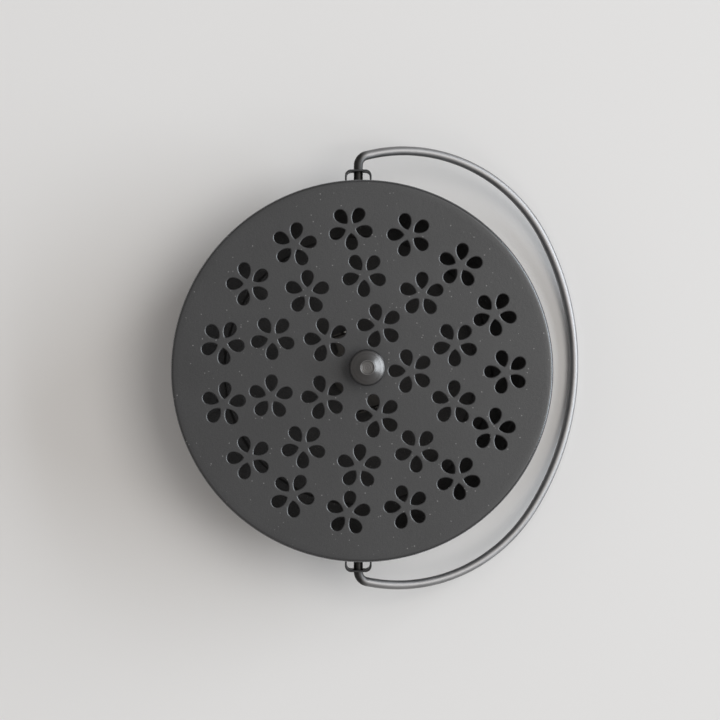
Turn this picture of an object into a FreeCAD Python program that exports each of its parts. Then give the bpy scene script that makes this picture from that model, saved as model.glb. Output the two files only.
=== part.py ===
import FreeCAD, Part
import math
import os

os.makedirs("parts", exist_ok=True)

# Round tin for a burning mosquito coil, in millimetres. The pan stands on z = 0 with its axis
# on Z. The bail is pinned through two ears on the Y axis and lies folded down to +X.

# Whole box
lid_d = 145.0               # across the lid's skirt
box_h = 42.0                # table to the lid's flat top
sheet_t = 0.6               # sheet of the lid and the pan

# Lid
lid_corner_r = 1.8          # outer round between the flat top and the skirt
lid_skirt_h = 9.0           # flat top to the skirt's lower edge
lid_play = 2.4              # radial play of the skirt round the pan's rim
lid_rest_share = 0.625      # share of that play by which the lid lies pushed to +X
lid_seat_gap = 0.1          # coating between the rim and the lid's underside
lid_lift = 60.0             # how far the lid is drawn straight up off the pan

# Blossoms punched one by one through the lid: three rings of five-petal flowers, a little uneven
rings_x = 0.25              # centre of the rings, off the lid's centre
rings_y = 0.14
ring_radius_shares = (0.249, 0.5015, 0.7485)
blossoms_deg = (
    (-0.8, 69.6, 140.2, 214.4, 288.4),
    (16.1, 52.5, 89.3, 125.6, 159.9, 196.0, 231.8, 267.6, 304.1, 340.4),
    (-0.6, 23.4, 47.2, 71.1, 95.0, 118.6, 142.9, 168.7, 193.6, 217.4, 240.4, 264.0, 287.6,
     311.6, 335.5),
)
blossom_twist_deg = -0.6    # each blossom against the line to the rings' centre
petal_count = 5
petal_out_share = 0.46      # blossom's centre to a petal's round end, share of the rings' spacing
petal_cap_share = 0.12      # round end of a petal
petal_side_share = 0.257    # its two long sides, which meet in a point

# Pan
rim_roll_r = 1.2            # outside of the rim rolled outwards
rim_roll_end_deg = -100.0   # where the roll ends, short of the wall
pan_corner_r = 4.0          # outer round between floor and wall
bead_r = 50.0               # stiffening bead pressed up in the floor
bead_w = 7.0
bead_h = 0.8
bead_round_r = 0.5
boss_space = 13.0           # between the two pressed bosses that carry the coil stand
boss_h = 1.5
boss_base_r = 5.0
boss_top_r = 3.6
boss_wall = 0.45            # horizontal thickness of the boss's cone

# Coil stand, one stamping
stand_t = 0.5
stand_turn_deg = 108.4      # its arms against +X
stand_reach = 16.3          # centre to the outer face of a bent-up prong
stand_arm_w = 10.5
stand_hub_edge = 4.3        # hub's metal beyond its rivets' centres
stand_bend_r = 0.8          # inside of the bend
prong_shoulder_h = 8.4      # stand's underside to the shoulders that carry the coil
prong_tip_h = 3.6
prong_tip_w = 3.4
prong_point_w = 0.6
spike_h = 13.0              # tongue cut from the middle and bent upright
spike_w = 3.2
spike_point_w = 0.5
spike_cut_gap = 0.15        # saw gap beside the tongue

# Ears for the bail, bent from strap
strap_t = 0.7
ear_w = 10.3
ear_h = 8.0
ear_out = 9.75              # pan's wall to the outer face of the bridge
ear_bend_r = 2.4            # outer round at the two bridge corners
ear_root_r = 0.8            # round between leg and flange
ear_flange_l = 7.25         # one flange beyond its leg
ear_flange_r = 2.0          # corners of the flanges
ear_under_skirt = 3.0       # lid's skirt to the top of an ear

# Bail, one wire bent by hand into a bow that leans a little from square to its pivot
wire_d = 3.5
pivot_gap = 0.3             # radial, wire in the ear's hole
bail_lean_deg = -3.0        # bow's centre line against +X
bail_finger_room = 10.15    # lid's edge to the crown of the folded bail
bail_bow_room = 7.0         # ear's bridge to the wire's middle where the bow is widest
bail_wide_share = 0.214     # pivot to that widest place, share of the reach to the crown
bail_shoulder_share = 0.764 # shoulder radius, share of the bow's half width
bail_bend_r = 4.2           # small bend just outside the ear
bail_stop_gap = 0.06        # the bail lies pushed to +Y, its front bend this far from the ear
bail_end_gap = 0.6          # wire end to the pan's wall when the bail is pushed all the way
bail_floor_gap = 0.2

# Knob on the lid, a little off the lid's centre
knob_x = 1.9
knob_y = 1.3
knob_base_r = 5.2
knob_base_h = 1.2
knob_slope_h = 1.0          # foot to neck
knob_neck_r = 4.0
knob_neck_h = 1.2
knob_flare_h = 3.0          # neck to belly
knob_belly_r = 6.9
knob_belly_h = 3.0
knob_shoulder_h = 2.6       # belly to the bevel of the flat top
knob_top_r = 3.3
knob_top_bevel = 0.4
knob_edge_r = 0.3
knob_neck_round_r = 0.8
knob_belly_round_r = 1.5    # under the belly
knob_dome_round_r = 2.2     # over the belly, where the shoulder is domed

# Screw and washer that hold the knob
screw_d = 4.0
screw_bite = 6.5            # length of the screw inside the knob
screw_head_r = 3.9
screw_head_h = 2.5
screw_head_round_r = 1.3
screw_slot_l = 4.4
screw_slot_w = 0.9
screw_slot_h = 1.3
screw_gap = 0.05            # radial, screw in the knob's threaded hole
blind_gap = 1.0             # end of the screw to the hole's end
washer_d = 10.0
washer_t = 0.8
washer_gap = 0.2            # radial, screw in the washer and in the lid

# Rivets
rivet_gap = 0.03            # radial, shank in its holes
stand_rivet_r = 1.2
stand_rivet_head_r = 2.2
stand_rivet_head_h = 1.0
stand_rivet_tail_r = 2.0
stand_rivet_tail_h = 0.8
ear_rivet_r = 1.4
ear_rivet_head_r = 2.5
ear_rivet_head_h = 1.1
ear_rivet_tail_r = 2.3
ear_rivet_tail_h = 0.9

overrun = 1.0               # by which a cutting tool passes both faces

# Derived places
lid_r = lid_d / 2
lid_inner_r = lid_r - sheet_t
lid_x = lid_rest_share * lid_play
ring_spacing = (ring_radius_shares[-1] - ring_radius_shares[0]) / 2 * lid_r
petal_out = petal_out_share * ring_spacing
petal_cap_r = petal_cap_share * ring_spacing
petal_side_r = petal_side_share * ring_spacing
rim_r = lid_inner_r - lid_play
rim_top = box_h - sheet_t - lid_seat_gap
pan_r = rim_r - 2 * rim_roll_r + sheet_t
stand_z = sheet_t + boss_h
stand_hub_r = boss_space / 2 + stand_hub_edge
ear_flange_w = ear_w + 2 * ear_flange_l
ear_rivet_space = ear_w + ear_flange_l
pivot_h = box_h - lid_skirt_h - ear_under_skirt - ear_h / 2
bridge_y = pan_r + ear_out
wire_r = wire_d / 2
bail_out = lid_x + lid_r + bail_finger_room + wire_r
bail_drop = pivot_h - wire_r - bail_floor_gap
bail_reach = math.hypot(bail_out, bail_drop)
bail_droop = math.atan2(bail_drop, bail_out)
bail_half_w = bridge_y + bail_bow_room
bail_wide = bail_wide_share * bail_reach
bail_shoulder_r = bail_shoulder_share * bail_half_w
knob_place = FreeCAD.Vector(lid_x + knob_x, knob_y, 0)

X = FreeCAD.Vector(1, 0, 0)
Y = FreeCAD.Vector(0, 1, 0)
Z = FreeCAD.Vector(0, 0, 1)
ORIGIN = FreeCAD.Vector(0, 0, 0)


def flat(u, v):
    """Point of a plan drawing, seen from above."""
    return FreeCAD.Vector(u, v, 0)


def upright(u, v):
    """Point of a drawing that stands on X and Z, for turned shapes and side views."""
    return FreeCAD.Vector(u, 0, v)


def side(u, v):
    """Point of a drawing that stands on Y and Z, for end views."""
    return FreeCAD.Vector(0, u, v)


def rounding(before, corner, after, radius):
    """Start, middle and end of the arc that rounds one corner of an outline."""
    back = (before - corner).normalize()
    ahead = (after - corner).normalize()
    half = back.getAngle(ahead) / 2
    inward = (back + ahead).normalize()
    centre = corner + inward * (radius / math.sin(half))
    length = radius / math.tan(half)
    return corner + back * length, centre - inward * radius, corner + ahead * length


def outline(corners):
    """Closed face through corners, each a point with the radius that rounds it."""
    points = [point for point, radius in corners]
    runs = []
    for i, (point, radius) in enumerate(corners):
        if radius == 0:
            runs.append((point, None, point))
        else:
            after = points[(i + 1) % len(points)]
            runs.append(rounding(points[i - 1], point, after, radius))
    edges = []
    for i, (start, middle, end) in enumerate(runs):
        if middle is not None:
            edges.append(Part.Arc(start, middle, end).toShape())
        edges.append(Part.makeLine(end, runs[(i + 1) % len(runs)][0]))
    return Part.Face(Part.Wire(edges))


def turned(face):
    """Solid that a half section makes when it is turned about Z."""
    return face.revolve(ORIGIN, Z, 360)


def around(shape, degrees):
    """Copy of a shape turned about Z."""
    copy = shape.copy()
    copy.rotate(ORIGIN, Z, degrees)
    return copy


def petal():
    """One petal hole, pointing away from its blossom's centre along +X."""
    cap_x = petal_out - petal_cap_r
    drop = petal_side_r - petal_cap_r
    tip_x = cap_x - math.sqrt(petal_side_r ** 2 - drop ** 2)
    half_turn = math.acos(drop / petal_side_r) / 2
    mid_x = cap_x - petal_side_r * math.sin(half_turn)
    mid_y = petal_side_r * math.cos(half_turn) - drop
    tip = flat(tip_x, 0)
    left = flat(cap_x, petal_cap_r)
    right = flat(cap_x, -petal_cap_r)
    edges = [
        Part.Arc(tip, flat(mid_x, mid_y), left).toShape(),
        Part.Arc(left, flat(petal_out, 0), right).toShape(),
        Part.Arc(right, flat(mid_x, -mid_y), tip).toShape(),
    ]
    tool = Part.Face(Part.Wire(edges)).extrude(Z * (sheet_t + 2 * overrun))
    tool.translate(Z * (box_h - sheet_t - overrun))
    return tool


def blossom_holes():
    """All petal holes of the three rings; each blossom has one petal towards the rings' centre."""
    one = petal()
    holes = []
    for share, degs in zip(ring_radius_shares, blossoms_deg):
        for angle in degs:
            for k in range(petal_count):
                hole = around(one, 180 + blossom_twist_deg + k * 360 / petal_count)
                hole.translate(X * (share * lid_r))
                hole = around(hole, angle)
                hole.translate(X * rings_x + Y * rings_y)
                holes.append(hole)
    return holes


def lid_shell():
    """Flat lid with a rounded corner and a skirt that reaches over the pan's rim."""
    low = box_h - lid_skirt_h
    section = outline([
        (upright(0, box_h), 0),
        (upright(lid_r, box_h), lid_corner_r),
        (upright(lid_r, low), 0),
        (upright(lid_inner_r, low), 0),
        (upright(lid_inner_r, box_h - sheet_t), lid_corner_r - sheet_t),
        (upright(0, box_h - sheet_t), 0),
    ])
    shell = turned(section).cut(Part.makeCompound(blossom_holes()))
    shell.translate(X * lid_x)
    hole_base = knob_place + Z * (box_h - sheet_t - overrun)
    hole = Part.makeCylinder(screw_d / 2 + washer_gap, sheet_t + 2 * overrun, hole_base)
    return shell.cut(hole)


def lid_knob():
    """Turned knob: a foot, a neck, a round belly and a flat top, with a blind threaded hole."""
    neck_low = knob_base_h + knob_slope_h
    neck_high = neck_low + knob_neck_h
    belly_low = neck_high + knob_flare_h
    belly_high = belly_low + knob_belly_h
    bevel_low = belly_high + knob_shoulder_h
    top = bevel_low + knob_top_bevel
    section = outline([
        (upright(0, 0), 0),
        (upright(knob_base_r, 0), 0),
        (upright(knob_base_r, knob_base_h), knob_edge_r),
        (upright(knob_neck_r, neck_low), knob_neck_round_r),
        (upright(knob_neck_r, neck_high), knob_neck_round_r),
        (upright(knob_belly_r, belly_low), knob_belly_round_r),
        (upright(knob_belly_r, belly_high), knob_dome_round_r),
        (upright(knob_top_r, bevel_low), knob_edge_r),
        (upright(knob_top_r - knob_top_bevel, top), 0),
        (upright(0, top), 0),
    ])
    hole_r = screw_d / 2 + screw_gap
    hole = Part.makeCylinder(hole_r, screw_bite + blind_gap + overrun, -Z * overrun)
    knob = turned(section).cut(hole)
    knob.translate(knob_place + Z * box_h)
    return knob


def knob_screw():
    """Pan-head screw with a cross slot, put in from under the lid."""
    grip = sheet_t + washer_t
    section = outline([
        (upright(0, screw_bite + grip), 0),
        (upright(screw_d / 2, screw_bite + grip), 0),
        (upright(screw_d / 2, 0), 0),
        (upright(screw_head_r, 0), 0),
        (upright(screw_head_r, -screw_head_h), screw_head_round_r),
        (upright(0, -screw_head_h), 0),
    ])
    screw = turned(section)
    corner = flat(-screw_slot_l / 2, -screw_slot_w / 2) - Z * (screw_head_h + overrun)
    slot = Part.makeBox(screw_slot_l, screw_slot_w, screw_slot_h + overrun, corner)
    screw = screw.cut(slot).cut(around(slot, 90))
    screw.translate(knob_place + Z * (box_h - grip))
    return screw


def knob_washer():
    """Flat washer between the screw's head and the sheet."""
    base = knob_place + Z * (box_h - sheet_t - washer_t)
    disc = Part.makeCylinder(washer_d / 2, washer_t, base)
    return disc.cut(Part.makeCylinder(screw_d / 2 + washer_gap, washer_t, base))


def polar(centre_r, centre_z, radius, degrees):
    """Point of an arc in a half section."""
    turn = math.radians(degrees)
    return upright(centre_r + radius * math.cos(turn), centre_z + radius * math.sin(turn))


def rim_roll():
    """Half section of the sheet rolled outwards over the top of the wall."""
    centre_r = pan_r - sheet_t + rim_roll_r
    centre_z = rim_top - rim_roll_r
    middle_deg = (180 + rim_roll_end_deg) / 2
    arcs = []
    for radius in (rim_roll_r, rim_roll_r - sheet_t):
        ends = [polar(centre_r, centre_z, radius, deg) for deg in (180, middle_deg, rim_roll_end_deg)]
        arcs.append(ends)
    outer, inner = arcs
    edges = [
        Part.Arc(*outer).toShape(),
        Part.makeLine(outer[2], inner[2]),
        Part.Arc(inner[2], inner[1], inner[0]).toShape(),
        Part.makeLine(inner[0], outer[0]),
    ]
    return Part.Face(Part.Wire(edges))


def boss_places():
    """Centres of the two pressed bosses, square to the coil stand's arms."""
    half = boss_space / 2
    return [around(Part.Vertex(0, y, 0), stand_turn_deg).Point for y in (-half, half)]


def ear_rivet_turns():
    """Directions of the four ear rivets about Z."""
    spread = math.degrees(math.asin(ear_rivet_space / 2 / pan_r))
    return [turn + sign * spread for turn in (90, 270) for sign in (-1, 1)]


def radial_hole(radius, turn):
    """Tool for a hole through the wall and a flange, in one direction about Z."""
    length = sheet_t + strap_t + 2 * overrun
    tool = Part.makeCylinder(radius, length, upright(pan_r - sheet_t - overrun, pivot_h), X)
    return around(tool, turn)


def base_pan():
    """Drawn pan with a flat floor, a stiffening bead, two bosses and a rolled rim."""
    bead_in = bead_r - bead_w / 2
    bead_out = bead_r + bead_w / 2
    shift = sheet_t * math.tan(math.radians(22.5))
    wall_top = rim_top - rim_roll_r
    section = outline([
        (upright(0, 0), 0),
        (upright(bead_in, 0), bead_round_r),
        (upright(bead_in + bead_h, bead_h), bead_round_r),
        (upright(bead_out - bead_h, bead_h), bead_round_r),
        (upright(bead_out, 0), bead_round_r),
        (upright(pan_r, 0), pan_corner_r),
        (upright(pan_r, wall_top), 0),
        (upright(pan_r - sheet_t, wall_top), 0),
        (upright(pan_r - sheet_t, sheet_t), pan_corner_r - sheet_t),
        (upright(bead_out + shift, sheet_t), bead_round_r),
        (upright(bead_out - bead_h + shift, bead_h + sheet_t), bead_round_r),
        (upright(bead_in + bead_h - shift, bead_h + sheet_t), bead_round_r),
        (upright(bead_in - shift, sheet_t), bead_round_r),
        (upright(0, sheet_t), 0),
    ])
    pan = turned(section).fuse(turned(rim_roll()))
    for place in boss_places():
        pan = pan.fuse(Part.makeCone(boss_base_r, boss_top_r, boss_h, place + Z * sheet_t))
    for place in boss_places():
        dent = Part.makeCone(boss_base_r - boss_wall, boss_top_r - boss_wall, boss_h, place)
        hole = Part.makeCylinder(stand_rivet_r + rivet_gap, stand_z + overrun, place)
        pan = pan.cut(dent).cut(hole)
    for turn in ear_rivet_turns():
        pan = pan.cut(radial_hole(ear_rivet_r + rivet_gap, turn))
    return pan.removeSplitter()


def coil_stand():
    """Stamped stand: a hub, two arms bent up into shouldered prongs, and a tongue bent upright."""
    top = stand_z + stand_t
    tip_z = stand_z + prong_shoulder_h + prong_tip_h
    inner = stand_reach - stand_t
    strap = outline([
        (upright(-stand_reach, tip_z), 0),
        (upright(-stand_reach, stand_z), stand_bend_r + stand_t),
        (upright(stand_reach, stand_z), stand_bend_r + stand_t),
        (upright(stand_reach, tip_z), 0),
        (upright(inner, tip_z), 0),
        (upright(inner, top), stand_bend_r),
        (upright(-inner, top), stand_bend_r),
        (upright(-inner, tip_z), 0),
    ]).extrude(Y * stand_arm_w)
    strap.translate(-Y * (stand_arm_w / 2))
    shoulder_z = stand_z + prong_shoulder_h
    front = [
        side(-stand_arm_w / 2, 0),
        side(stand_arm_w / 2, 0),
        side(stand_arm_w / 2, shoulder_z),
        side(prong_tip_w / 2, shoulder_z),
        side(prong_point_w / 2, tip_z),
        side(-prong_point_w / 2, tip_z),
        side(-prong_tip_w / 2, shoulder_z),
        side(-stand_arm_w / 2, shoulder_z),
    ]
    front_face = outline([(point, 0) for point in front])
    mask = front_face.extrude(X * (2 * stand_reach + 2 * overrun))
    mask.translate(-X * (stand_reach + overrun))
    hub = Part.makeCylinder(stand_hub_r, stand_t, Z * stand_z)
    window_w = spike_w + 2 * spike_cut_gap
    window = Part.makeBox(spike_h, window_w, stand_t, flat(stand_t / 2, -window_w / 2) + Z * stand_z)
    tongue = outline([
        (side(-spike_w / 2, stand_z), 0),
        (side(spike_w / 2, stand_z), 0),
        (side(spike_point_w / 2, stand_z + spike_h), 0),
        (side(-spike_point_w / 2, stand_z + spike_h), 0),
    ]).extrude(X * stand_t)
    tongue.translate(-X * (stand_t / 2))
    stand = strap.common(mask).fuse(hub).cut(window).fuse(tongue)
    stand = around(stand.removeSplitter(), stand_turn_deg)
    for place in boss_places():
        base = place + Z * (stand_z - overrun)
        hole = Part.makeCylinder(stand_rivet_r + rivet_gap, stand_t + 2 * overrun, base)
        stand = stand.cut(hole)
    return stand


def rivet(shank_r, grip, head_r, head_h, tail_r, tail_h):
    """Rivet on Z whose domed head sits on z = 0 and whose grip hangs below it."""
    dome_r = (head_r ** 2 + head_h ** 2) / (2 * head_h)
    half_turn = math.asin(head_r / dome_r) / 2
    crown = upright(0, head_h)
    middle = upright(dome_r * math.sin(half_turn), head_h - dome_r * (1 - math.cos(half_turn)))
    corners = [
        upright(head_r, 0),
        upright(shank_r, 0),
        upright(shank_r, -grip),
        upright(tail_r, -grip),
        upright(tail_r, -grip - tail_h),
        upright(0, -grip - tail_h),
        crown,
    ]
    edges = [Part.Arc(crown, middle, corners[0]).toShape()]
    edges += [Part.makeLine(a, b) for a, b in zip(corners, corners[1:])]
    return turned(Part.Face(Part.Wire(edges)))


def stand_rivets():
    """Two rivets through the coil stand and the bosses; their tails stay clear of the table."""
    rivets = []
    for place in boss_places():
        one = rivet(stand_rivet_r, stand_t + sheet_t, stand_rivet_head_r, stand_rivet_head_h,
                    stand_rivet_tail_r, stand_rivet_tail_h)
        one.translate(place + Z * (stand_z + stand_t))
        rivets.append(one)
    return Part.makeCompound(rivets)


def ear_rivets():
    """Four rivets through the ears' flanges and the pan's wall; the flat tails span its hollow."""
    inner_r = pan_r - sheet_t
    hollow = inner_r - math.sqrt(inner_r ** 2 - ear_rivet_tail_r ** 2)
    grip = strap_t + sheet_t + hollow
    rivets = []
    for turn in ear_rivet_turns():
        one = rivet(ear_rivet_r, grip, ear_rivet_head_r, ear_rivet_head_h,
                    ear_rivet_tail_r, ear_rivet_tail_h)
        one.rotate(ORIGIN, Y, 90)
        one.translate(upright(pan_r + strap_t, pivot_h))
        rivets.append(around(one, turn))
    return Part.makeCompound(rivets)


def ear():
    """Back ear: two curved flanges on the wall and a looped bridge with the wire's hole."""
    low = pivot_h - ear_h / 2
    half = ear_w / 2
    root_y = math.sqrt(pan_r ** 2 - half ** 2)
    plan = outline([
        (flat(-half, root_y), 0),
        (flat(-half, bridge_y), ear_bend_r),
        (flat(half, bridge_y), ear_bend_r),
        (flat(half, root_y), 0),
        (flat(half - strap_t, root_y), 0),
        (flat(half - strap_t, bridge_y - strap_t), ear_bend_r - strap_t),
        (flat(-half + strap_t, bridge_y - strap_t), ear_bend_r - strap_t),
        (flat(-half + strap_t, root_y), 0),
    ])
    loop = plan.extrude(Z * ear_h)
    loop.translate(Z * low)
    ring = Part.makeCylinder(pan_r + strap_t, ear_h, Z * low)
    wall = Part.makeCylinder(pan_r, ear_h, Z * low)
    window = outline([
        (upright(-ear_flange_w / 2, low), ear_flange_r),
        (upright(ear_flange_w / 2, low), ear_flange_r),
        (upright(ear_flange_w / 2, low + ear_h), ear_flange_r),
        (upright(-ear_flange_w / 2, low + ear_h), ear_flange_r),
    ]).extrude(Y * (bridge_y + overrun))
    gap_w = ear_w - 2 * strap_t
    gap = Part.makeBox(gap_w, bridge_y, ear_h, flat(-gap_w / 2, 0) + Z * low)
    flanges = ring.common(window).cut(gap)
    body = flanges.fuse(loop).cut(wall).removeSplitter()
    roots = []
    for edge in body.Edges:
        middle = edge.CenterOfMass
        outside = math.hypot(middle.x, middle.y) > pan_r + strap_t / 2
        at_leg = abs(abs(middle.x) - half) < strap_t / 4
        if outside and at_leg and middle.y < pan_r + strap_t and edge.BoundBox.ZLength > ear_h / 2:
            roots.append(edge)
    body = body.makeFillet(ear_root_r, roots)
    hole = Part.makeCylinder(wire_r + pivot_gap, ear_out, flat(0, pan_r + strap_t) + Z * pivot_h, Y)
    body = body.cut(hole)
    for turn in ear_rivet_turns()[:2]:
        body = body.cut(radial_hole(ear_rivet_r + rivet_gap, turn))
    return body


def lean(u, v):
    """Point of the bow's own drawing, turned with its centre line."""
    return FreeCAD.Rotation(Z, bail_lean_deg).multVec(flat(u, v))


def arc_about(centre, start, end):
    """Arc round a centre, the short way from start to end."""
    middle = (start - centre + end - centre).normalize() * (start - centre).Length
    return Part.Arc(start, centre + middle, end).toShape()


def bail_bend(sign):
    """Centre of one shoulder and of the small bend beside it: back for 1, front for -1."""
    shoulder = lean(bail_wide, sign * (bail_half_w - bail_shoulder_r))
    across = shoulder.x - bail_bend_r
    along = math.sqrt((bail_shoulder_r - bail_bend_r) ** 2 - across ** 2)
    return shoulder, flat(bail_bend_r, shoulder.y + sign * along)


def bail_line():
    """Edges of the bail's centreline in its own plane, and how far the bail lies pushed to +Y."""
    side_room = bail_half_w - bail_shoulder_r
    reach_room = bail_reach - bail_wide - bail_shoulder_r
    crown_r = bail_shoulder_r + (side_room ** 2 + reach_room ** 2) / (2 * reach_room)
    crown_centre = lean(bail_reach - crown_r, 0)
    back, front = bail_bend(1)[1], bail_bend(-1)[1]
    push_low = bridge_y - back.y
    push_high = -front.y - bridge_y
    wire_ends = {1: pan_r + bail_end_gap - push_low, -1: -pan_r - bail_end_gap - push_high}
    edges = []
    crown_ends = []
    for sign in (1, -1):
        shoulder, bend = bail_bend(sign)
        bend_start = flat(0, bend.y)
        bend_end = bend + (bend - shoulder).normalize() * bail_bend_r
        shoulder_end = shoulder + (shoulder - crown_centre).normalize() * bail_shoulder_r
        edges.append(Part.makeLine(flat(0, wire_ends[sign]), bend_start))
        edges.append(arc_about(bend, bend_start, bend_end))
        edges.append(arc_about(shoulder, bend_end, shoulder_end))
        crown_ends.append(shoulder_end)
    edges.append(arc_about(crown_centre, *crown_ends))
    return edges, push_high - bail_stop_gap


def bail_handle():
    """Round wire bent into a bail, lying folded down until its crown is over the table."""
    edges, push = bail_line()
    tubes = []
    for edge in edges:
        start = edge.Vertexes[0].Point
        section = Part.Wire(Part.makeCircle(wire_r, start, edge.tangentAt(edge.FirstParameter)))
        tubes.append(Part.Wire(edge).makePipeShell([section], True, True))
    solid = tubes[0].fuse(tubes[1:]).removeSplitter()
    solid.rotate(ORIGIN, Y, math.degrees(bail_droop))
    solid.translate(Y * push + Z * pivot_h)
    return solid


nodes = {
    "base_pan": base_pan(),
    "lid_shell": lid_shell(),
    "lid_knob": lid_knob(),
    "knob_screw": knob_screw(),
    "knob_washer": knob_washer(),
    "coil_stand": coil_stand(),
    "stand_rivets": stand_rivets(),
    "ear_back": ear(),
    "ear_front": around(ear(), 180),
    "ear_rivets": ear_rivets(),
    "bail_handle": bail_handle(),
}

for name, shape in nodes.items():
    shape.exportStep(f"parts/{name}.step")
    box = shape.BoundBox
    print(f"{name}: {len(shape.Solids)} solids, valid {shape.isValid()}, {shape.Volume:.1f} mm3, "
          f"x {box.XMin:.2f} {box.XMax:.2f}, y {box.YMin:.2f} {box.YMax:.2f}, "
          f"z {box.ZMin:.2f} {box.ZMax:.2f}")
print(f"lid travel {lid_lift:.1f} mm, bail swings {180 + 2 * math.degrees(bail_droop):.2f} degrees")
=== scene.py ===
import bmesh
import bpy
import math
from mathutils import Matrix, Vector


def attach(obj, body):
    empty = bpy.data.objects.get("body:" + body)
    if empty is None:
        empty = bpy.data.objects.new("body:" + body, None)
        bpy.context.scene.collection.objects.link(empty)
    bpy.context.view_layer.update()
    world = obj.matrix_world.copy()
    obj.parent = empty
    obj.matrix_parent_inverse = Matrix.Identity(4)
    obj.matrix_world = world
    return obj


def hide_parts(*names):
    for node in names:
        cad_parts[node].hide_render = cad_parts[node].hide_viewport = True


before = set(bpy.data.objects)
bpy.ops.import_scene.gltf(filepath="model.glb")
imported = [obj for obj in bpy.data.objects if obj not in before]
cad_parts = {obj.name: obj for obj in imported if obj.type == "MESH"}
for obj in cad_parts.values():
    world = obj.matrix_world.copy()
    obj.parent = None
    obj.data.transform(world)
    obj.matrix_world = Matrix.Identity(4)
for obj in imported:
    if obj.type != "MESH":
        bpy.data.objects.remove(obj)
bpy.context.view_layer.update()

# Sizes are in millimetres until a piece is finished. The tin stands on z = 0 and its bail lies
# folded to +X, as in the photograph, where +X is to the right and +Y is up.
MM = 0.001
MERGE = 0.0005              # points closer than this become one
LEVEL = 0.0004              # edges within this of a height belong to it
SHARP = math.radians(40)    # edges steeper than this stay crisp
RING_STEPS = 256            # steps of the tin's large turned pieces

# Lid
SHEET_T = 0.6
LID_X = 1.5                 # the lid lies this far off the pan's axis
LID_R = 72.5
LID_TOP = 42.0
LID_LOW = 33.0
EDGE_W, EDGE_FALL = 2.4, 0.10      # gentle fall of the lid's top before its rounded corner
EDGE_SLOPE_R, EDGE_R = 40.0, 1.3
EDGE_BAND = 2.0             # flat band that is turned together with the edge
HEM_R = 0.22
SMOOTH_FROM = 71.2          # the coat is smoother beyond this radius

# Blossoms of the lid: each ring's radius as a share of the lid's, and its blossoms' angles
RINGS_X, RINGS_Y = 0.25, 0.14
RINGS = (
    (0.249, (-0.8, 69.6, 140.2, 214.4, 288.4)),
    (0.5015, (16.1, 52.5, 89.3, 125.6, 159.9, 196.0, 231.8, 267.6, 304.1, 340.4)),
    (0.7485, (-0.6, 23.4, 47.2, 71.1, 95.0, 118.6, 142.9, 168.7, 193.6, 217.4, 240.4, 264.0,
              287.6, 311.6, 335.5)),
)
RINGS_SPACING = (RINGS[2][0] - RINGS[0][0]) / 2 * LID_R
PETALS = 5
BLOSSOM_TWIST = -0.6
PETAL_OUT = 0.46 * RINGS_SPACING
PETAL_CAP_R = 0.12 * RINGS_SPACING
PETAL_SIDE_R = 0.257 * RINGS_SPACING
PETAL_EDGE_R, PETAL_EDGE_STEPS = 0.5, 5      # rounding of the punched edges under the coating
PETAL_LOW_R, PETAL_LOW_STEPS = 0.08, 2
PETAL_SIDE_STEPS, PETAL_CAP_STEPS = 9, 10

# Pan
PAN_R = 67.7
PAN_CORNER_R = 4.0
RIM_TOP = 41.3
RIM_ROLL_R = 1.2
RIM_ROLL_TURN = math.radians(280)
RIM_JOIN = 1.6              # the outer wall ends this far under the roll's middle
BEAD_IN, BEAD_OUT, BEAD_H, BEAD_ROUND_R = 46.5, 53.5, 0.8, 0.5
BEAD_BAND = 6.0             # flat floor that is turned together with the bead
BOSS_SPACE, BOSS_H, BOSS_BASE_R, BOSS_TOP_R, BOSS_WALL = 13.0, 1.5, 5.0, 3.6, 0.45
BOSS_BAND, BOSS_HOLE_R = 1.0, 1.2
STAND_TURN = math.radians(108.4)

# Ears
STRAP_T = 0.7
EAR_W, EAR_H, EAR_BEND_R, EAR_ROOT_R, EAR_FLANGE_W, EAR_FLANGE_R = 10.3, 8.0, 2.4, 0.8, 24.8, 2.0
EAR_LIFT = 0.02             # the middle of a root's bend stands this much farther out
BRIDGE_Y = 77.45
PIVOT_Z = 26.0
EYE_R = 2.05

# Bail
WIRE_R = 1.75
WIRE_END_R = 0.35
WIRE_SIDES = 32
BAIL_LEAN = math.radians(-3.0)
BAIL_OUT = LID_X + LID_R + 10.15 + WIRE_R
BAIL_DROP = PIVOT_Z - WIRE_R - 0.2
BAIL_REACH = math.hypot(BAIL_OUT, BAIL_DROP)
BAIL_DROOP = math.atan2(BAIL_DROP, BAIL_OUT)
BAIL_HALF_W = BRIDGE_Y + 7.0
BAIL_WIDE = 0.214 * BAIL_REACH
BAIL_SHOULDER_R = 0.764 * BAIL_HALF_W
BAIL_BEND_R = 4.2
BAIL_END_GAP = 0.6          # between the wire's end and the pan's wall
BAIL_SLACK = 0.06           # what is left of the side play at the back ear
BEND_STEPS, SHOULDER_STEPS, CROWN_STEPS = 14, 44, 32

# Knob: its place, and its half section as radius, height above the lid and rounding
KNOB = Vector((LID_X + 1.9, 1.3, 0))
KNOB_SECTION = (
    (0, 0, 0), (5.2, 0, 0.12), (5.2, 1.2, 0.3), (4.0, 2.2, 0.8), (4.0, 3.4, 0.8), (6.9, 6.4, 1.5),
    (6.9, 9.4, 2.2), (3.2, 11.95, 0.35), (2.9, 12.4, 0.25), (2.45, 12.4, 0.15), (2.3, 12.2, 0.1),
    (0, 12.2, 0),
)

# Light and camera, in metres and degrees
LIGHT_DISTANCE = 4.0
LIGHT_AIM = Vector((0, 0, 0.02))
CAMERA_PLACE = (0.00066, 0.00414, 0.7898)
CAMERA_LENS = 98.8


# Modelling helpers

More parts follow.
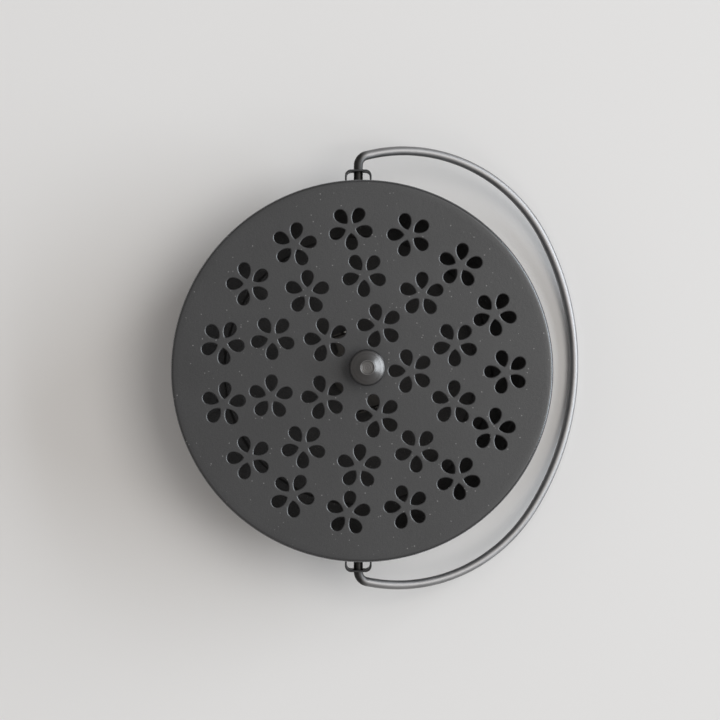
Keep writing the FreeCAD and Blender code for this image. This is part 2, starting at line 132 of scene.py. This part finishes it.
def round_off(bm, geom, offset, segments, affect="VERTICES"):
    """Rounds points of a line or edges of a solid."""
    bmesh.ops.bevel(bm, geom=geom, offset=offset, offset_type="OFFSET", affect=affect,
                    segments=segments, profile=0.5, material=-1, clamp_overlap=False)


def arc(bm, start, centre, angle, steps, axis=(0, 0, 1)):
    """Draws an arc from a point and returns the arc's last point."""
    made = bmesh.ops.spin(bm, geom=[start], cent=centre, axis=axis, angle=angle, steps=steps,
                          use_duplicate=False)
    return made["geom_last"][0]


def corner_line(bm, corners, segments=5):
    """Line of edges through corners; each corner is a point and the radius that rounds it."""
    verts = [bm.verts.new(point) for point, radius in corners]
    for pair in zip(verts, verts[1:]):
        bm.edges.new(pair)
    for vert, (point, radius) in zip(verts, corners):
        if radius > 0:
            back, ahead = [edge.other_vert(vert).co - vert.co for edge in vert.link_edges]
            round_off(bm, [vert], radius / math.tan(back.angle(ahead) / 2), segments)


def section_line(bm, corners, segments=5):
    """Line in the XZ plane from corners of radius and height, with their rounding."""
    corner_line(bm, [(Vector((u, 0, v)), radius) for (u, v), radius in corners], segments)


def turn(bm, steps):
    """Turns everything in bm once about Z."""
    bmesh.ops.spin(bm, geom=bm.verts[:] + bm.edges[:], cent=(0, 0, 0), axis=(0, 0, 1),
                   angle=2 * math.pi, steps=steps, use_merge=True, use_duplicate=False)
    bmesh.ops.remove_doubles(bm, verts=bm.verts, dist=MERGE)


def turned_piece(corners, steps, segments):
    """New bmesh of a half section turned about Z."""
    bm = bmesh.new()
    section_line(bm, corners, segments)
    turn(bm, steps)
    return bm


def add_to(bm, other):
    """Puts a finished bmesh into another and frees it."""
    mesh = bpy.data.meshes.new("part")
    other.to_mesh(mesh)
    other.free()
    bm.from_mesh(mesh)
    bpy.data.meshes.remove(mesh)


def fill_level(bm, z, up):
    """Fills the flat sheet between all open edges that lie at height z."""
    edges = [edge for edge in bm.edges if edge.is_boundary or edge.is_wire]
    edges = [edge for edge in edges if all(abs(vert.co.z - z) < LEVEL for vert in edge.verts)]
    bmesh.ops.triangle_fill(bm, edges=edges, use_beauty=True, use_dissolve=False,
                            normal=(0, 0, 1 if up else -1))


def piece(bm, name, body, material, node, bevel=0, second=None):
    """Finishes a bmesh as an object that rides on its body in place of one of the frame's nodes."""
    bmesh.ops.remove_doubles(bm, verts=bm.verts, dist=MERGE)
    bmesh.ops.recalc_face_normals(bm, faces=bm.faces)
    bmesh.ops.scale(bm, vec=(MM, MM, MM), verts=bm.verts)
    for face in bm.faces:
        face.smooth = True
    for edge in bm.edges:
        if len(edge.link_faces) == 2 and edge.calc_face_angle(0) > SHARP:
            edge.smooth = False
    mesh = bpy.data.meshes.new(name)
    bm.to_mesh(mesh)
    bm.free()
    made = bpy.data.objects.new(name, mesh)
    bpy.context.scene.collection.objects.link(made)
    mesh.materials.append(material)
    if second:
        mesh.materials.append(second)
    if bevel:
        edge_round = made.modifiers.new("edge_round", "BEVEL")
        edge_round.width = bevel * MM
        edge_round.segments = 2
        edge_round.limit_method = "ANGLE"
        edge_round.angle_limit = SHARP
    weighted = made.modifiers.new("flat_faces", "WEIGHTED_NORMAL")
    weighted.keep_sharp = True
    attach(made, body)
    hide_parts(node)


def repaint(node, material):
    """Gives one of the frame's own nodes a new material."""
    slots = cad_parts[node].data.materials
    slots.clear()
    slots.append(material)


# Materials. The scale of a noise is per metre, and the depth of a bump in millimetres.

class Nodes:
    """A node tree that is built one node at a time."""

    def __init__(self, tree, coordinates):
        self.tree = tree
        self.place = self.add("ShaderNodeTexCoord", {}, coordinates)

    def fill(self, node, inputs):
        """Sets or links a node's inputs; a colour of three parts becomes opaque."""
        for key, value in inputs.items():
            socket = node.inputs[key]
            if isinstance(value, bpy.types.NodeSocket):
                self.tree.links.new(value, socket)
            elif socket.type == "RGBA":
                socket.default_value = (*value, 1.0)
            else:
                socket.default_value = value

    def add(self, kind, inputs, output=0, **settings):
        """Adds a node, sets or links its inputs, and returns one of its outputs."""
        node = self.tree.nodes.new(kind)
        for key, value in settings.items():
            setattr(node, key, value)
        self.fill(node, inputs)
        return node.outputs[output]

    def noise(self, scale, detail=2.0, roughness=0.5, place=None):
        return self.add("ShaderNodeTexNoise", {"Vector": place or self.place, "Scale": scale,
                                               "Detail": detail, "Roughness": roughness})

    def ramp(self, value, low, high, low_out, high_out, shape="LINEAR"):
        """Run from low to high, held beyond both."""
        return self.add("ShaderNodeMapRange", {"Value": value, "From Min": low, "From Max": high,
                                               "To Min": low_out, "To Max": high_out},
                        interpolation_type=shape)

    def mix(self, factor, first, second):
        """Colour between two colours."""
        return self.add("ShaderNodeMix", {0: factor, 6: first, 7: second}, 2, data_type="RGBA")

    def math(self, operation, first, second):
        return self.add("ShaderNodeMath", {0: first, 1: second}, operation=operation)

    def part(self, axis):
        """One coordinate: 0 for X, 1 for Y, 2 for Z."""
        return self.add("ShaderNodeSeparateXYZ", {0: self.place}, axis)


class Paint(Nodes):
    """A material of one shader."""

    def __init__(self, name):
        self.material = bpy.data.materials.new(name)
        self.material.use_nodes = True
        tree = self.material.node_tree
        tree.nodes.clear()
        super().__init__(tree, "Object")
        out = tree.nodes.new("ShaderNodeOutputMaterial")
        self.shader = tree.nodes.new("ShaderNodeBsdfPrincipled")
        tree.links.new(self.shader.outputs[0], out.inputs[0])

    def shade(self, **inputs):
        """Sets or links the surface's own inputs."""
        self.fill(self.shader, {key.replace("_", " "): value for key, value in inputs.items()})

    def bump(self, height, strength, distance):
        return self.add("ShaderNodeBump", {"Height": height, "Strength": strength,
                                           "Distance": distance * MM})

    def from_axis(self, x, y):
        """Distance from an upright axis at x, y in millimetres."""
        level = self.add("ShaderNodeVectorMath", {0: self.place, 1: (1.0, 1.0, 0.0)},
                         operation="MULTIPLY")
        return self.add("ShaderNodeVectorMath", {0: level, 1: (x * MM, y * MM, 0.0)}, 1,
                        operation="DISTANCE")


# Light grey of the painted glints on the coat's raised specks
PAINTED_GLINT_GREY = (0.24, 0.24, 0.24)
COAT_SHEEN = (0.92, 0.96, 1.0)      # the coat's reflections are a little cold
# Near-white metal of painted glints
PAINTED_GLINT_STEEL = (0.95, 0.95, 0.93)
# Near black of the bail's ends inside the ears
WIRE_END_BLACK = (0.045, 0.045, 0.045)


def coat(name, dark, light, roughness, grain, ior=1.5, smooth_from=None):
    """Powder coat: fine orange peel, a cloud of tone, and raised grains whose bright specks are
    painted glints, light grey painted into the colour.

    The lid's is smoother beyond a radius, on its drawn edge.
    """
    paint = Paint(name)
    cloud = paint.noise(35.0, 3.0)
    grains = paint.noise(2600.0, 2.0, 0.6)
    peel = paint.noise(900.0)
    tone = paint.mix(paint.ramp(grains, 0.35, 0.65, 0.0, 1.0), dark, light)
    # Painted glints: rare specks painted light grey in the colour and raised in the bump
    cell = paint.add("ShaderNodeTexVoronoi", {"Vector": paint.place, "Scale": 520.0})
    rare = paint.ramp(paint.noise(190.0, 1.0), 0.54, 0.58, 0.0, 1.0)
    glint_speck = paint.math("MULTIPLY", paint.ramp(cell, 0.10, 0.16, 1.0, 0.0), rare)
    colour = paint.mix(paint.math("MULTIPLY", glint_speck, 0.5), tone, PAINTED_GLINT_GREY)
    rough = paint.ramp(cloud, 0.3, 0.7, roughness - 0.03, roughness + 0.03)
    if smooth_from:
        edge = paint.ramp(paint.from_axis(LID_X, 0), smooth_from * MM, (smooth_from + 1) * MM,
                          1.0, 0.35)
        rough = paint.math("MULTIPLY", rough, edge)
    height = paint.math("ADD", peel, grains)
    height = paint.math("ADD", height, paint.math("MULTIPLY", glint_speck, 0.8))
    paint.shade(Base_Color=colour, Roughness=rough, Normal=paint.bump(height, grain, 0.06),
                IOR=ior, Specular_Tint=COAT_SHEEN)
    return paint.material


def drawn_steel(name, dark, light, roughness, glint_from=None, dark_to=None):
    """Plated sheet or wire: metal with a soft grain and small marks.

    Above a height its colour can be painted near-white metal, a painted glint, and up to a distance
    in X it can be made near black.
    """
    paint = Paint(name)
    grain = paint.noise(1400.0, 3.0, 0.6)
    cloud = paint.noise(90.0, 3.0, 0.6)
    colour = paint.mix(paint.ramp(cloud, 0.3, 0.7, 0.0, 1.0), dark, light)
    # Painted glint: above the height the colour is painted near-white metal so the tips shine
    if glint_from:
        painted_glint = paint.ramp(paint.part(2), glint_from * MM, (glint_from + 0.4) * MM, 0.0, 1.0)
        colour = paint.mix(painted_glint, colour, PAINTED_GLINT_STEEL)
    # Near black up to a distance in X; on the bail, its ends inside the ears
    if dark_to:
        black = paint.ramp(paint.part(0), (dark_to - 3.0) * MM, dark_to * MM, 1.0, 0.0)
        colour = paint.mix(black, colour, WIRE_END_BLACK)
    rough = paint.ramp(cloud, 0.3, 0.7, roughness - 0.05, roughness + 0.06)
    paint.shade(Base_Color=colour, Metallic=1.0, Roughness=rough,
                Normal=paint.bump(grain, 0.25, 0.03))
    return paint.material


def turned_coat(name, dark, light):
    """Knob: thin satin coat in which the lathe's rings still show."""
    paint = Paint(name)
    along = paint.math("SUBTRACT", paint.from_axis(KNOB.x, KNOB.y), paint.part(2))
    line = paint.add("ShaderNodeCombineXYZ", {"X": along})
    rings = paint.noise(1900.0, 1.0, 0.6, line)
    wide = paint.noise(800.0, 2.0, 0.6, line)
    grains = paint.noise(2200.0)
    height = paint.math("ADD", paint.math("MULTIPLY", rings, 0.45), wide)
    height = paint.math("ADD", height, paint.math("MULTIPLY", grains, 0.06))
    colour = paint.mix(paint.ramp(wide, 0.35, 0.65, 0.0, 1.0), dark, light)
    rough = paint.ramp(rings, 0.35, 0.65, 0.30, 0.48)
    paint.shade(Base_Color=colour, IOR=2.1, Roughness=rough, Normal=paint.bump(height, 1.0, 0.22))
    return paint.material


lid_coat = coat("lid_coat", (0.013, 0.013, 0.014), (0.024, 0.024, 0.025), 0.40, 0.45, 1.76,
                SMOOTH_FROM)
pan_coat = coat("pan_coat", (0.018, 0.018, 0.019), (0.030, 0.030, 0.031), 0.42, 0.30)
# Painted light: the pan's inside is the same coat as its outside, but coloured about three times
# lighter to stand in for light reaching it through the petals
inside_lightened_coat = coat("inside_lightened_coat", (0.060, 0.060, 0.062), (0.084, 0.084, 0.086), 0.62, 0.35, 1.35)
ear_coat = coat("ear_coat", (0.016, 0.016, 0.017), (0.028, 0.028, 0.029), 0.48, 0.30)
knob_coat = turned_coat("knob_coat", (0.005, 0.005, 0.006), (0.012, 0.012, 0.013))
wire_steel = drawn_steel("wire_steel", (0.25, 0.25, 0.255), (0.31, 0.31, 0.315), 0.50, dark_to=4.0)
zinc = drawn_steel("zinc", (0.26, 0.26, 0.25), (0.38, 0.38, 0.37), 0.42)
rivet_steel = drawn_steel("rivet_steel", (0.14, 0.14, 0.14), (0.20, 0.20, 0.20), 0.42)
# The stand and its rivets are much darker steel than the zinc fittings; the prong tips above 12.6
# mm carry painted glints
dark_stand_steel = drawn_steel("dark_stand_steel", (0.08, 0.08, 0.075), (0.13, 0.125, 0.12), 0.45,
                           glint_from=12.6)

# Small fittings keep the frame's own shapes
for fitting, steel in (("knob_screw", zinc), ("knob_washer", zinc), ("coil_stand", dark_stand_steel),
                       ("stand_rivets", dark_stand_steel), ("ear_rivets", rivet_steel)):
    repaint(fitting, steel)


# Lid

def petal_line(bm, grow, z):
    """Outline of a petal, larger than the hole by grow: one point that is spun three times."""
    cap_x = PETAL_OUT - PETAL_CAP_R
    drop = PETAL_SIDE_R - PETAL_CAP_R
    side_r = PETAL_SIDE_R + grow
    first = vert = bm.verts.new((cap_x - math.sqrt(side_r ** 2 - drop ** 2), 0, z))
    side_turn = math.acos(drop / side_r)
    runs = ((-drop, side_turn, PETAL_SIDE_STEPS), (0, math.pi, PETAL_CAP_STEPS),
            (drop, side_turn, PETAL_SIDE_STEPS))
    for centre_y, angle, steps in runs:
        vert = arc(bm, vert, (cap_x, centre_y, z), -angle, steps)
    bmesh.ops.weld_verts(bm, targetmap={vert: first})


def quarter(steps):
    """Angles from nothing to a quarter turn."""
    return [math.pi / 2 * k / steps for k in range(steps + 1)]


def petal_wall(top, low):
    """Wall of one petal hole with its upper and lower edges rounded."""
    bm = bmesh.new()
    for a in quarter(PETAL_EDGE_STEPS):
        petal_line(bm, PETAL_EDGE_R * (1 - math.sin(a)), top - PETAL_EDGE_R * (1 - math.cos(a)))
    for a in quarter(PETAL_LOW_STEPS):
        petal_line(bm, PETAL_LOW_R * (1 - math.cos(a)), low + PETAL_LOW_R * (1 - math.sin(a)))
    bmesh.ops.bridge_loops(bm, edges=bm.edges[:])
    return bm


def make_blossom(low):
    """Mesh of the five petal walls of one blossom about the lid's axis."""
    petal = petal_wall(LID_TOP, low)
    mesh = bpy.data.meshes.new("petal")
    petal.to_mesh(mesh)
    petal.free()
    blossom = bmesh.new()
    for k in range(PETALS):
        step = 180 + BLOSSOM_TWIST if k == 0 else 360 / PETALS
        mesh.transform(Matrix.Rotation(math.radians(step), 4, "Z"))
        blossom.from_mesh(mesh)
    blossom.to_mesh(mesh)
    blossom.free()
    return mesh


def make_lid():
    low = LID_TOP - SHEET_T
    mesh = make_blossom(low)
    lid = bmesh.new()
    centre = Matrix.Translation((RINGS_X, RINGS_Y, 0))
    for share, degs in RINGS:
        out = Matrix.Translation((share * LID_R, 0, 0))
        for angle in degs:
            placed = mesh.copy()
            placed.transform(centre @ Matrix.Rotation(math.radians(angle), 4, "Z") @ out)
            lid.from_mesh(placed)
            bpy.data.meshes.remove(placed)
    bpy.data.meshes.remove(mesh)

    inner_r = LID_R - SHEET_T
    slope = math.atan2(EDGE_FALL, EDGE_W)
    bend_r = LID_R - EDGE_W
    start_r = bend_r - EDGE_BAND
    inner_fall = EDGE_FALL * (EDGE_W - SHEET_T) / EDGE_W + SHEET_T / math.cos(slope)
    skirt = turned_piece([
        ((start_r, LID_TOP), 0),
        ((bend_r, LID_TOP), EDGE_SLOPE_R),
        ((LID_R, LID_TOP - EDGE_FALL), EDGE_R),
        ((LID_R, LID_LOW), HEM_R),
        ((inner_r, LID_LOW), HEM_R),
        ((inner_r, LID_TOP - inner_fall), EDGE_R - SHEET_T),
        ((bend_r - SHEET_T * math.tan(slope / 2), low), EDGE_SLOPE_R - SHEET_T),
        ((start_r, low), 0),
    ], RING_STEPS, 8)
    add_to(lid, skirt)
    fill_level(lid, LID_TOP, True)
    fill_level(lid, low, False)
    bmesh.ops.translate(lid, vec=(LID_X, 0, 0), verts=lid.verts)
    piece(lid, "lid_sheet", "lid", lid_coat, "lid_shell")


def make_knob():
    knob = turned_piece([((u, LID_TOP + v), radius) for u, v, radius in KNOB_SECTION], 96, 8)
    bmesh.ops.translate(knob, vec=KNOB, verts=knob.verts)
    piece(knob, "knob_turned", "lid", knob_coat, "lid_knob")


make_lid()
make_knob()


# Pan

def make_boss(sign):
    """One of the two bosses that the stand is riveted to, with the floor around it."""
    top_z = SHEET_T + BOSS_H
    boss = turned_piece([
        ((BOSS_BASE_R + BOSS_BAND, SHEET_T), 0),
        ((BOSS_BASE_R, SHEET_T), 0.5),
        ((BOSS_TOP_R, top_z), 0.4),
        ((BOSS_HOLE_R, top_z), 0),
        ((BOSS_HOLE_R, BOSS_H), 0),
        ((BOSS_TOP_R - BOSS_WALL, BOSS_H), 0.3),
        ((BOSS_BASE_R - BOSS_WALL, 0), 0.4),
        ((BOSS_BASE_R + BOSS_BAND, 0), 0),
    ], 48, 3)
    place = Matrix.Rotation(STAND_TURN, 4, "Z") @ Vector((0, sign * BOSS_SPACE / 2, 0))
    bmesh.ops.translate(boss, vec=place, verts=boss.verts)
    return boss


def make_wall():
    """Floor's rim, bead, corner, wall and the open roll of the rim, as one turned section."""
    wall_top = RIM_TOP - RIM_ROLL_R
    join_z = wall_top - RIM_JOIN
    inner_r = PAN_R - SHEET_T
    roll_x = inner_r + RIM_ROLL_R
    start = BEAD_IN - BEAD_BAND
    shift = SHEET_T * math.tan(math.radians(22.5))      # keeps the bead's slopes one sheet thick
    outside = [
        ((start, 0), 0),
        ((BEAD_IN, 0), BEAD_ROUND_R),
        ((BEAD_IN + BEAD_H, BEAD_H), BEAD_ROUND_R),
        ((BEAD_OUT - BEAD_H, BEAD_H), BEAD_ROUND_R),
        ((BEAD_OUT, 0), BEAD_ROUND_R),
        ((PAN_R, 0), PAN_CORNER_R),
        ((PAN_R, join_z), 0),
    ]
    inside = [
        ((start, SHEET_T), 0),
        ((BEAD_IN - shift, SHEET_T), BEAD_ROUND_R),
        ((BEAD_IN + BEAD_H - shift, BEAD_H + SHEET_T), BEAD_ROUND_R),
        ((BEAD_OUT - BEAD_H + shift, BEAD_H + SHEET_T), BEAD_ROUND_R),
        ((BEAD_OUT + shift, SHEET_T), BEAD_ROUND_R),
        ((inner_r, SHEET_T), PAN_CORNER_R - SHEET_T),
        ((inner_r, wall_top), 0),
    ]
    wall = bmesh.new()
    for corners in (outside, inside):
        section_line(wall, corners)
    centre = (roll_x, 0, wall_top)
    top = wall.verts.new((inner_r, 0, wall_top))
    end = arc(wall, top, centre, RIM_ROLL_TURN, 22, (0, 1, 0))
    end_in = wall.verts.new((end.co + Vector(centre)) / 2)
    wall.edges.new((end, end_in))
    last = arc(wall, end_in, centre, -RIM_ROLL_TURN, 16, (0, 1, 0))
    on_wall = [vert for vert in wall.verts if abs(vert.co.x - PAN_R) < 1e-4]
    wall.edges.new((last, min(on_wall, key=lambda vert: abs(vert.co.z - join_z))))
    turn(wall, RING_STEPS)
    return wall


def mark_inside(pan):
    """Gives the faces of the pan's inside the second material, the coat's lighter painted-light
    copy.
    """
    for face in pan.faces:
        middle = face.calc_center_median()
        outward = Vector((middle.x, middle.y, 0))
        faces_in = face.normal.dot(outward) < -0.2 * outward.length
        floor_side = face.normal.z > 0.3 and middle.z < RIM_TOP / 2
        below_roll = middle.z < RIM_TOP - RIM_ROLL_R and outward.length < PAN_R - SHEET_T / 2
        if below_roll and (faces_in or floor_side):
            face.material_index = 1


def make_pan():
    pan = bmesh.new()
    add_to(pan, make_wall())
    for sign in (-1, 1):
        add_to(pan, make_boss(sign))
    fill_level(pan, SHEET_T, True)
    fill_level(pan, 0, False)
    bmesh.ops.remove_doubles(pan, verts=pan.verts, dist=MERGE)
    bmesh.ops.recalc_face_normals(pan, faces=pan.faces)
    mark_inside(pan)
    piece(pan, "pan_sheet", "pan", pan_coat, "base_pan", second=inside_lightened_coat)


make_pan()


# Ears

def make_strap(bm, low):
    """Half of the bent strap's line, mirrored and drawn up to the strap's width."""
    half = EAR_W / 2
    outer_r = PAN_R + STRAP_T
    flange_a = math.asin(EAR_FLANGE_W / 2 / outer_r)
    root_a = math.asin((half + EAR_ROOT_R) / outer_r)
    root_y = outer_r * math.cos(root_a) + EAR_LIFT
    tip = bm.verts.new((outer_r * math.sin(flange_a), outer_r * math.cos(flange_a), low))
    foot = arc(bm, tip, (0, 0, low), flange_a - root_a, 10)
    leg = arc(bm, foot, (half + EAR_ROOT_R, root_y + EAR_ROOT_R, low), -math.pi / 2, 6)
    corner = bm.verts.new((half, BRIDGE_Y, low))
    middle = bm.verts.new((half - EAR_BEND_R - 0.001, BRIDGE_Y, low))
    bm.edges.new((leg, corner))
    bm.edges.new((corner, middle))
    round_off(bm, [corner], EAR_BEND_R, 8)
    bmesh.ops.mirror(bm, geom=bm.verts[:] + bm.edges[:], axis="X", merge_dist=0)
    made = bmesh.ops.extrude_edge_only(bm, edges=bm.edges[:])
    raised = [item for item in made["geom"] if isinstance(item, bmesh.types.BMVert)]
    bmesh.ops.translate(bm, vec=(0, 0, EAR_H), verts=raised)
    tips = [vert for vert in bm.verts if abs(abs(vert.co.x) - EAR_FLANGE_W / 2) < 0.01]
    round_off(bm, tips, EAR_FLANGE_R * 0.9, 6)


def fill_plate(bm):
    """Closes the strap's outer plate around a round eye for the bail."""
    bend_x = EAR_W / 2 - EAR_BEND_R
    eye = bmesh.ops.create_circle(bm, cap_ends=False, radius=EYE_R, segments=40)["verts"]
    stand_up = Matrix.Translation((0, BRIDGE_Y, PIVOT_Z)) @ Matrix.Rotation(math.pi / 2, 4, "X")
    bmesh.ops.transform(bm, matrix=stand_up, verts=eye)

    def on_plate(vert):
        return abs(vert.co.y - BRIDGE_Y) < 0.001 and abs(vert.co.x) < bend_x + 0.15

    ends = sorted((vert for vert in bm.verts if on_plate(vert) and vert not in eye
                   and abs(abs(vert.co.x) - bend_x) < 0.01), key=lambda vert: vert.co.x)
    for below in (True, False):
        level = [vert for vert in ends if (vert.co.z < PIVOT_Z) == below]
        bm.edges.new((level[0], level[-1]))
    rim = [edge for edge in bm.edges if edge.is_wire or edge.is_boundary]
    rim = [edge for edge in rim if all(on_plate(vert) for vert in edge.verts)]
    bmesh.ops.triangle_fill(bm, edges=rim, use_beauty=True, use_dissolve=False, normal=(0, 1, 0))


def make_ear(name, node, turn_deg):
    """Strap bent into a loop on two flanges that follow the wall, with an eye for the bail."""
    bm = bmesh.new()
    make_strap(bm, PIVOT_Z - EAR_H / 2)
    fill_plate(bm)
    bmesh.ops.remove_doubles(bm, verts=bm.verts, dist=0.003)
    bmesh.ops.recalc_face_normals(bm, faces=bm.faces)
    if sum(face.normal.y * face.calc_area() for face in bm.faces) < 0:
        bmesh.ops.reverse_faces(bm, faces=bm.faces)
    bmesh.ops.solidify(bm, geom=bm.faces[:], thickness=STRAP_T)
    bmesh.ops.rotate(bm, cent=(0, 0, 0), matrix=Matrix.Rotation(math.radians(turn_deg), 3, "Z"),
                     verts=bm.verts)
    piece(bm, name, "pan", ear_coat, node, bevel=0.1)


make_ear("ear_strap_back", "ear_back", 0)
make_ear("ear_strap_front", "ear_front", 180)


# Bail

def bail_places():
    """Places of the bail in its own plane: wire ends, bends and shoulders, back one first."""
    lean = Matrix.Rotation(BAIL_LEAN, 3, "Z")
    side_room = BAIL_HALF_W - BAIL_SHOULDER_R
    reach_room = BAIL_REACH - BAIL_WIDE - BAIL_SHOULDER_R
    crown_r = BAIL_SHOULDER_R + (side_room ** 2 + reach_room ** 2) / (2 * reach_room)
    crown = lean @ Vector((BAIL_REACH - crown_r, 0, 0))
    sides = []
    for sign in (1, -1):
        shoulder = lean @ Vector((BAIL_WIDE, sign * side_room, 0))
        across = shoulder.x - BAIL_BEND_R
        along = math.sqrt((BAIL_SHOULDER_R - BAIL_BEND_R) ** 2 - across ** 2)
        bend = Vector((BAIL_BEND_R, shoulder.y + sign * along, 0))
        sides.append((shoulder, bend))
    push_low = BRIDGE_Y - sides[0][1].y
    push_high = -sides[1][1].y - BRIDGE_Y
    ends = (PAN_R + BAIL_END_GAP - push_low, -PAN_R - BAIL_END_GAP - push_high)
    return ends, sides, crown, push_high - BAIL_SLACK


def make_bail():
    """Wire drawn as a circle, pulled and spun along the bail's bends from one end to the other."""
    ends, sides, crown, push = bail_places()
    bm = bmesh.new()
    ring = bmesh.ops.create_circle(bm, cap_ends=False, radius=WIRE_R, segments=WIRE_SIDES)["verts"]
    stand = Matrix.Translation((0, ends[0], 0)) @ Matrix.Rotation(math.pi / 2, 4, "X")
    bmesh.ops.transform(bm, matrix=stand, verts=ring)
    rim = bm.edges[:]
    end_rims = [rim]

    def pull(along):
        """Draws the last ring straight on in Y."""
        nonlocal ring, rim
        made = bmesh.ops.extrude_edge_only(bm, edges=rim)
        ring = [item for item in made["geom"] if isinstance(item, bmesh.types.BMVert)]
        rim = [item for item in made["geom"] if isinstance(item, bmesh.types.BMEdge)
               and all(vert in ring for vert in item.verts)]
        bmesh.ops.translate(bm, vec=(0, along, 0), verts=ring)

    def swing(centre, angle, steps):
        """Turns the last ring on about a bend's centre."""
        nonlocal ring, rim
        made = bmesh.ops.spin(bm, geom=ring + rim, cent=centre, axis=(0, 0, 1), angle=angle,
                              steps=steps, use_duplicate=False)
        ring = [item for item in made["geom_last"] if isinstance(item, bmesh.types.BMVert)]
        rim = [item for item in made["geom_last"] if isinstance(item, bmesh.types.BMEdge)]

    def heading(centre, place):
        return math.atan2(place.y - centre.y, place.x - centre.x)

    back_shoulder, back_bend = sides[0]
    front_shoulder, front_bend = sides[1]
    start = heading(back_shoulder, back_bend)
    to_crown = heading(crown, back_shoulder)
    from_crown = heading(crown, front_shoulder)
    finish = heading(front_shoulder, front_bend)
    pull(back_bend.y - ends[0])
    swing(back_bend, start - math.pi, BEND_STEPS)
    swing(back_shoulder, to_crown - start, SHOULDER_STEPS)
    swing(crown, from_crown - to_crown, CROWN_STEPS)
    swing(front_shoulder, finish - from_crown, SHOULDER_STEPS)
    swing(front_bend, -math.pi - finish, BEND_STEPS)
    pull(ends[1] - front_bend.y)
    end_rims.append(rim)
    for edges in end_rims:
        bmesh.ops.edgeloop_fill(bm, edges=edges)
        round_off(bm, edges, WIRE_END_R, 3, "EDGES")
    lay = Matrix.Translation((0, push, PIVOT_Z)) @ Matrix.Rotation(BAIL_DROOP, 4, "Y")
    bmesh.ops.transform(bm, matrix=lay, verts=bm.verts)
    piece(bm, "bail_wire", "bail", wire_steel, "bail_handle")


make_bail()


# Floor, light and camera

def make_floor():
    bm = bmesh.new()
    bmesh.ops.create_grid(bm, x_segments=1, y_segments=1, size=3.0)
    mesh = bpy.data.meshes.new("floor")
    bm.to_mesh(mesh)
    bm.free()
    floor = bpy.data.objects.new("floor", mesh)
    bpy.context.scene.collection.objects.link(floor)
    paint = Paint("floor")
    paint.shade(Base_Color=(0.70, 0.705, 0.71), Roughness=0.9, Specular_IOR_Level=0.1)
    mesh.materials.append(paint.material)


def softbox(name, elevation, azimuth, size, energy, colour):
    """Area light aimed at the tin from a height and a direction in degrees."""
    light = bpy.data.lights.new(name, "AREA")
    light.shape = "RECTANGLE"
    light.size, light.size_y = size
    light.energy = energy
    light.color = colour
    up, around = math.radians(elevation), math.radians(azimuth)
    place = LIGHT_DISTANCE * Vector((math.cos(up) * math.cos(around),
                                     math.cos(up) * math.sin(around), math.sin(up)))
    lamp = bpy.data.objects.new(name, light)
    lamp.location = place
    lamp.rotation_euler = (LIGHT_AIM - place).to_track_quat("-Z", "Y").to_euler()
    bpy.context.scene.collection.objects.link(lamp)


def make_room():
    """Sky of the room: bright to the right, dim and warm towards the left and low down."""
    world = bpy.data.worlds.new("room")
    world.use_nodes = True
    bpy.context.scene.world = world
    background = world.node_tree.nodes["Background"]
    sky = Nodes(world.node_tree, "Generated")
    height = sky.ramp(sky.part(2), -0.1, 1.0, 0.20, 0.50, "SMOOTHSTEP")
    overhead = sky.ramp(sky.part(2), 0.93, 0.985, 1.0, 0.60, "SMOOTHSTEP")
    across = sky.ramp(sky.part(0), -0.9, 0.9, 0.94, 1.32)
    strength = sky.math("MULTIPLY", sky.math("MULTIPLY", height, overhead), across)
    tint = sky.mix(across, (1.0, 0.84, 0.70), (1.0, 0.95, 0.91))
    sky.fill(background, {"Color": tint, "Strength": strength})


def make_camera():
    camera = bpy.data.cameras.new("camera")
    camera.lens = CAMERA_LENS
    camera.sensor_width = 36.0
    camera.clip_start = 0.01
    viewer = bpy.data.objects.new("camera", camera)
    viewer.location = CAMERA_PLACE
    bpy.context.scene.collection.objects.link(viewer)
    bpy.context.scene.camera = viewer


make_floor()
softbox("window", 20, 10, (4.4, 2.2), 192.0, (0.90, 0.95, 1.0))
softbox("ceiling", 62, 12, (2.6, 1.9), 55.0, (1.0, 0.955, 0.90))
make_room()
make_camera()
bpy.context.scene.view_settings.view_transform = "Standard"
